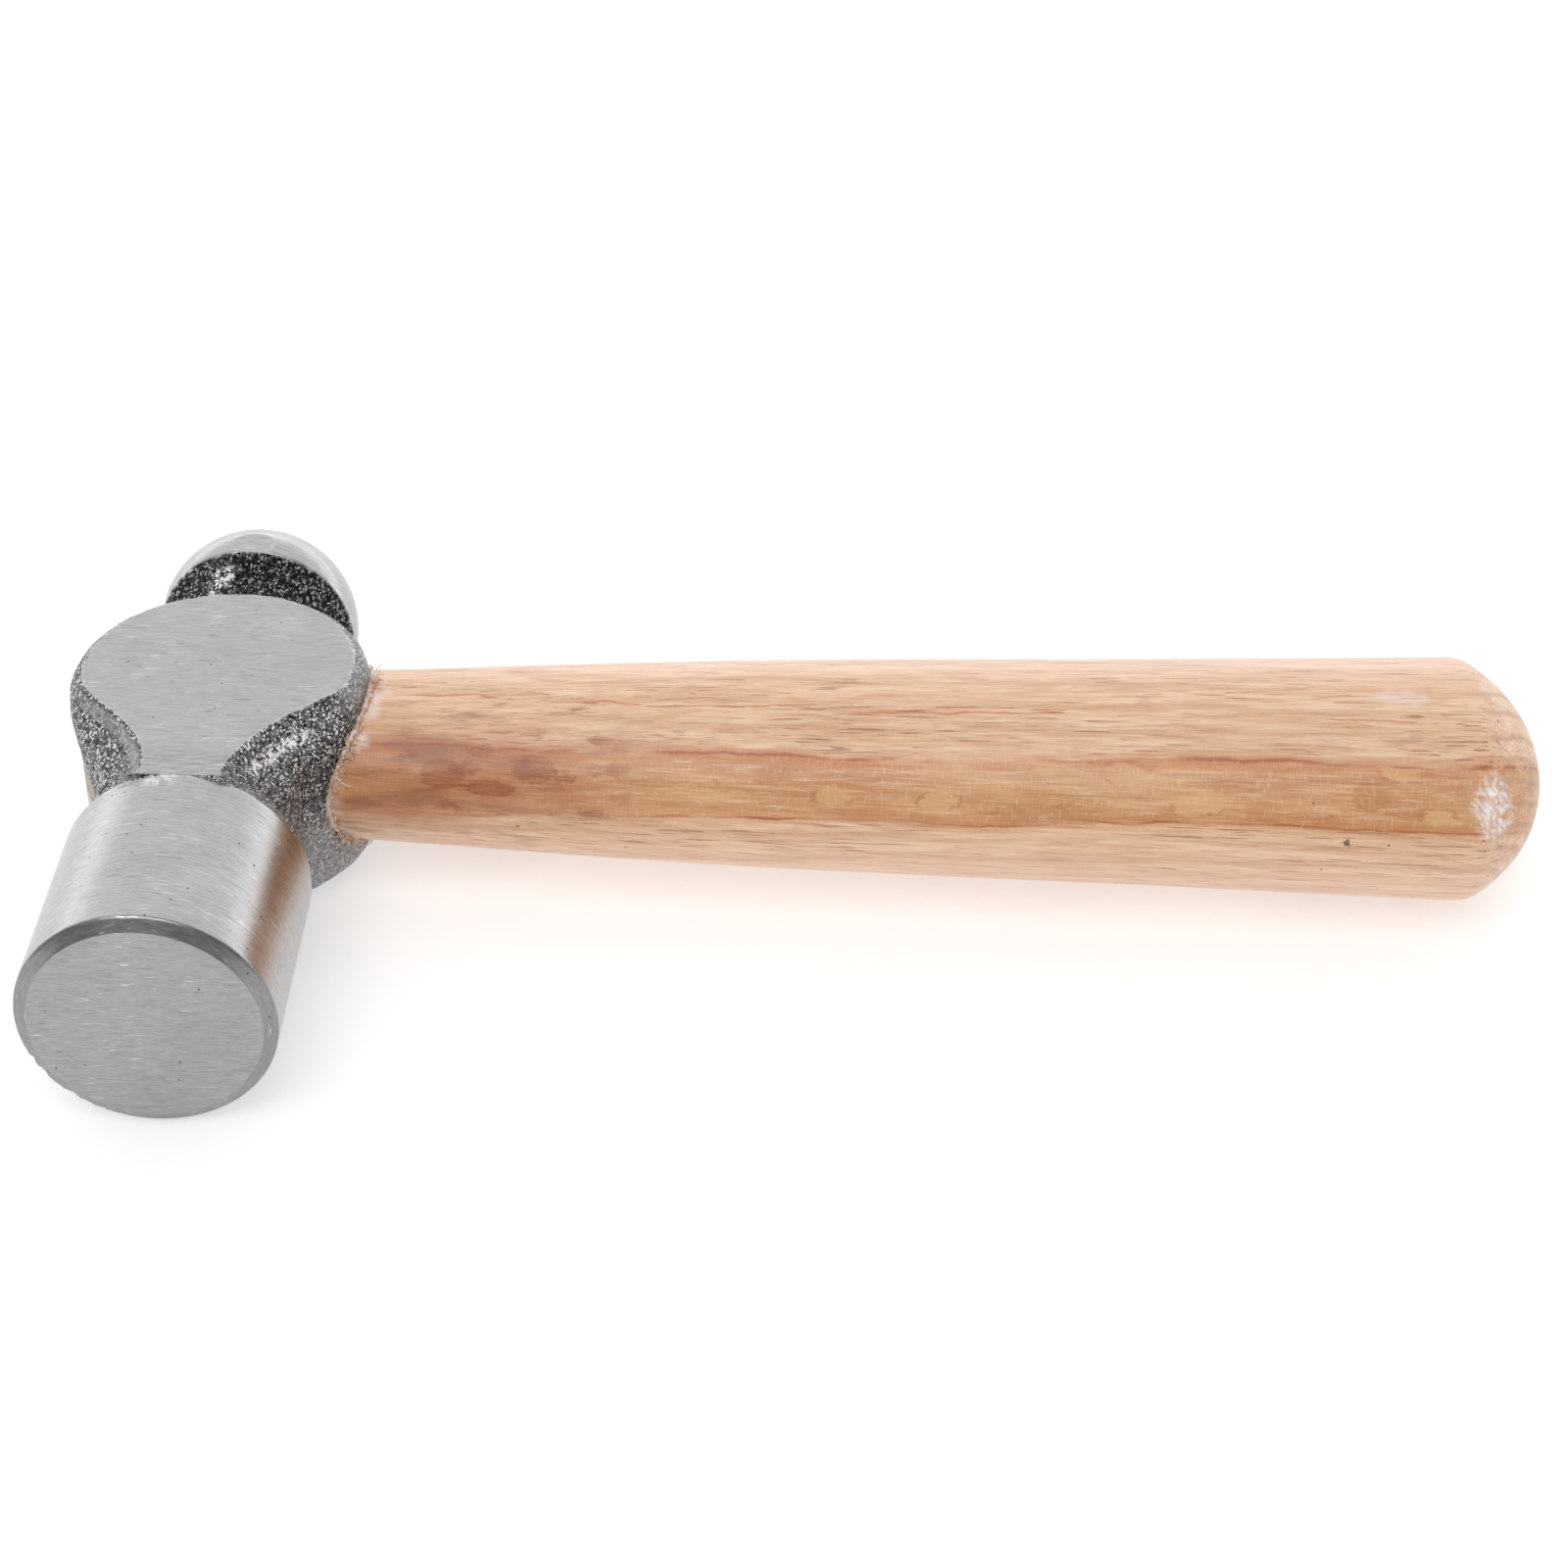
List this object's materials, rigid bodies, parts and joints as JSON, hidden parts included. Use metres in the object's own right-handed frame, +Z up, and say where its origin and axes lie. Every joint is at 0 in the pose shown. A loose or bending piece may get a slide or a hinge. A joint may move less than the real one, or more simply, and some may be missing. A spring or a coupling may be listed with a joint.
{
  "type": "ball peen hammer",
  "caption": "Stubby ball peen hammer lying on its side: ground steel head with a flat striking face and a ball, wedged onto an oval lacquered wooden handle with a domed butt.",
  "frame": {"origin": "middle of the hammer's box, on the surface it lies on", "axes": "+X along the handle from head to butt, -Y out of the striking face and +Y out of the ball, +Z up out of a ground cheek"},
  "size_m": [0.1764, 0.093, 0.0281],
  "materials": {
    "head_steel": "satin ground poll, ball and cheeks; dark raw forged necks",
    "handle_wood": "clear lacquered light hardwood with the grain along the handle",
    "wedge_wood": "bare pale hardwood, end grain showing",
    "wedge_steel": "plain mill steel, ground flush"
  },
  "bodies": {
    "root": {"head": "head_steel", "handle": "handle_wood", "wooden_wedge": "wedge_wood", "steel_wedge_1": "wedge_steel", "steel_wedge_2": "wedge_steel"}
  },
  "joints": []
}
